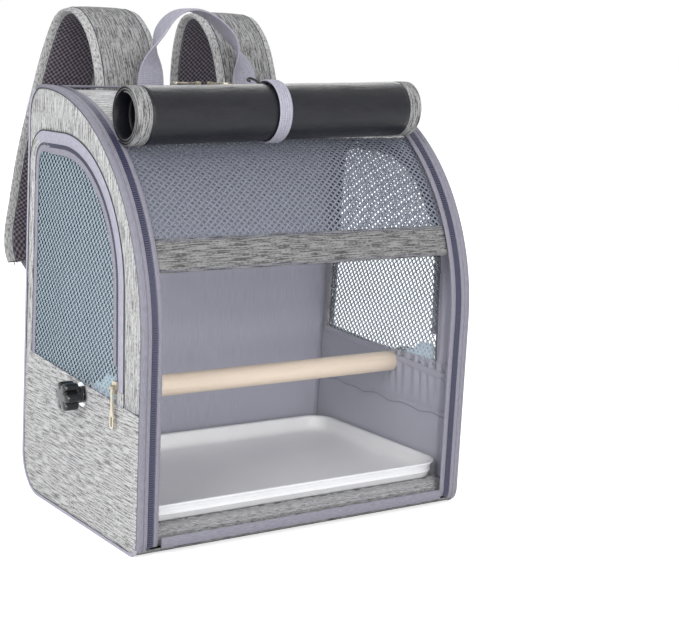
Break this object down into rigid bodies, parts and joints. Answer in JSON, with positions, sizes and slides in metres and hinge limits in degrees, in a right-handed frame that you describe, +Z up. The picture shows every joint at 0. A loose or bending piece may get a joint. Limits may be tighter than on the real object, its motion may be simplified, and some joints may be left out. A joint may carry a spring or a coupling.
{
  "type": "bird travel carrier backpack",
  "caption": "Soft-sided bird carrier worn as a backpack: arched sides with zipped net doors, clear front door with rolled shade, wooden perch, floor tray, carry handle and padded straps.",
  "frame": {"origin": "centre of the base's flat underside", "axes": "+Z up, the front door faces -Y, +X is to the right seen from the front"},
  "size_m": [0.3838, 0.3754, 0.4622],
  "materials": {
    "melange_cloth": "light grey melange, matt",
    "band_cloth": "darker melange, matt",
    "mat_cloth": "padded grey cloth, matt",
    "pad_cloth": "grey melange over foam",
    "tab_cloth": "grey cloth, matt",
    "stiff_board": "hidden stiffener",
    "satin_lining": "smooth satin weave",
    "air_mesh": "dark spacer mesh",
    "net": "pale blue-grey knitted net",
    "black_mesh": "black diamond mesh",
    "ribbon": "lilac-grey nylon ribbon",
    "champagne_metal": "satin champagne plating",
    "spring_wire": "spring wire",
    "clear_film": "clear film",
    "shade_cloth": "black coated cloth, soft sheen",
    "natural_wood": "sanded, unfinished",
    "plated_steel": "bright plating",
    "black_plastic": "glossy",
    "black_plastic_matt": "matt",
    "white_plastic": "off-white, satin",
    "black_webbing": "woven webbing"
  },
  "bodies": {
    "shell": {"bottom_panel": "melange_cloth", "base_board": "stiff_board", "floor_mat": "mat_cloth", "back_panel": "melange_cloth", "back_board": "stiff_board", "back_lining": "satin_lining", "back_pad": "air_mesh", "side_upper_left": "melange_cloth", "side_upper_right": "melange_cloth", "side_lower_left": "melange_cloth", "side_lower_right": "melange_cloth", "side_lining_left": "satin_lining", "side_lining_right": "satin_lining", "side_net_left": "net", "side_net_right": "net", "side_zip_left": "ribbon", "side_zip_right": "ribbon", "arch_tape_left": "ribbon", "arch_tape_right": "ribbon", "arch_wires": "spring_wire", "top_tape": "ribbon", "perch": "natural_wood", "perch_screws": "plated_steel", "perch_washers": "plated_steel", "strap_yoke": "melange_cloth", "web_anchors": "tab_cloth", "strap_web_left": "black_webbing", "strap_web_right": "black_webbing"},
    "front_door": {"front_window": "clear_film", "front_band": "band_cloth", "front_mesh": "black_mesh", "front_binding": "ribbon", "door_tape_left": "ribbon", "door_tape_right": "ribbon", "top_panel": "melange_cloth", "shade_roll": "shade_cloth", "shade_bindings": "melange_cloth", "roll_strap": "ribbon"},
    "tray": {"tray": "white_plastic"},
    "handle": {"handle": "ribbon"},
    "flap_left": {"side_flap_left": "net", "flap_tape_left": "ribbon"},
    "side_slider_left": {"side_slider_left": "champagne_metal"},
    "side_pull_left": {"side_pull_left": "champagne_metal"},
    "front_slider_left": {"front_slider_left": "champagne_metal"},
    "front_pull_left": {"front_pull_left": "champagne_metal"},
    "knob_left": {"knob_left": "black_plastic"},
    "strap_left": {"strap_pad_left": "pad_cloth", "strap_tab_left": "tab_cloth"},
    "ladder_lock_left": {"ladder_lock_left": "black_plastic_matt"},
    "flap_right": {"side_flap_right": "net", "flap_tape_right": "ribbon"},
    "side_slider_right": {"side_slider_right": "champagne_metal"},
    "side_pull_right": {"side_pull_right": "champagne_metal"},
    "front_slider_right": {"front_slider_right": "champagne_metal"},
    "front_pull_right": {"front_pull_right": "champagne_metal"},
    "knob_right": {"knob_right": "black_plastic"},
    "strap_right": {"strap_pad_right": "pad_cloth", "strap_tab_right": "tab_cloth"},
    "ladder_lock_right": {"ladder_lock_right": "black_plastic_matt"}
  },
  "joints": [
    {"name": "front_door_open", "type": "hinge", "parent": "shell", "child": "front_door", "pos_m": [0, -0.1207, 0.0072], "axis": [1, 0, 0], "range_deg": [0, 90]},
    {"name": "tray_lift", "type": "slide", "parent": "shell", "child": "tray", "axis": [0, 0, 1], "range_m": [0, 0.055]},
    {"name": "handle_fold", "type": "hinge", "parent": "shell", "child": "handle", "pos_m": [0, 0.095, 0.3851], "axis": [1, 0, 0], "range_deg": [-10, 45]},
    {"name": "flap_left_open", "type": "hinge", "parent": "shell", "child": "flap_left", "pos_m": [-0.17, -0.0805, 0.147], "axis": [0, -0.6082, -0.7938], "range_deg": [0, 120]},
    {"name": "side_zip_left_run", "type": "slide", "parent": "shell", "child": "side_slider_left", "axis": [0, 0, 1], "range_m": [0, 0.07]},
    {"name": "side_pull_left_swing", "type": "hinge", "parent": "side_slider_left", "child": "side_pull_left", "pos_m": [-0.1748, -0.0805, 0.1412], "axis": [0, 1, 0], "range_deg": [0, 150]},
    {"name": "front_zip_left_run", "type": "slide", "parent": "front_door", "child": "front_slider_left", "axis": [-1, 0, 0], "range_m": [0, 0.1]},
    {"name": "front_pull_left_swing", "type": "hinge", "parent": "front_slider_left", "child": "front_pull_left", "pos_m": [-0.0065, 0.084, 0.392], "axis": [0, 1, 0], "range_deg": [0, 150]},
    {"name": "knob_left_turn", "type": "hinge", "parent": "shell", "child": "knob_left", "pos_m": [-0.1819, -0.012, 0.121], "axis": [-1, 0, 0], "continuous": true},
    {"name": "strap_left_swing", "type": "hinge", "parent": "shell", "child": "strap_left", "pos_m": [-0.066, 0.1116, 0.368], "axis": [1, 0, 0], "range_deg": [-12, 8], "deforming": ["strap_web_left"]},
    {"name": "ladder_lock_left_tilt", "type": "hinge", "parent": "strap_left", "child": "ladder_lock_left", "pos_m": [-0.116, 0.20685, 0.19376], "axis": [1, 0, 0], "range_deg": [0, 35]},
    {"name": "flap_right_open", "type": "hinge", "parent": "shell", "child": "flap_right", "pos_m": [0.17, -0.0805, 0.147], "axis": [0, 0.6082, 0.7938], "range_deg": [0, 120]},
    {"name": "side_zip_right_run", "type": "slide", "parent": "shell", "child": "side_slider_right", "axis": [0, 0, 1], "range_m": [0, 0.07]},
    {"name": "side_pull_right_swing", "type": "hinge", "parent": "side_slider_right", "child": "side_pull_right", "pos_m": [0.1748, -0.0805, 0.1412], "axis": [0, -1, 0], "range_deg": [0, 150]},
    {"name": "front_zip_right_run", "type": "slide", "parent": "front_door", "child": "front_slider_right", "axis": [1, 0, 0], "range_m": [0, 0.1]},
    {"name": "front_pull_right_swing", "type": "hinge", "parent": "front_slider_right", "child": "front_pull_right", "pos_m": [0.0065, 0.084, 0.392], "axis": [0, -1, 0], "range_deg": [0, 150]},
    {"name": "knob_right_turn", "type": "hinge", "parent": "shell", "child": "knob_right", "pos_m": [0.1819, -0.012, 0.121], "axis": [1, 0, 0], "continuous": true},
    {"name": "strap_right_swing", "type": "hinge", "parent": "shell", "child": "strap_right", "pos_m": [0.066, 0.1116, 0.368], "axis": [1, 0, 0], "range_deg": [-12, 8], "deforming": ["strap_web_right"]},
    {"name": "ladder_lock_right_tilt", "type": "hinge", "parent": "strap_right", "child": "ladder_lock_right", "pos_m": [0.116, 0.20685, 0.19376], "axis": [1, 0, 0], "range_deg": [0, 35]}
  ]
}
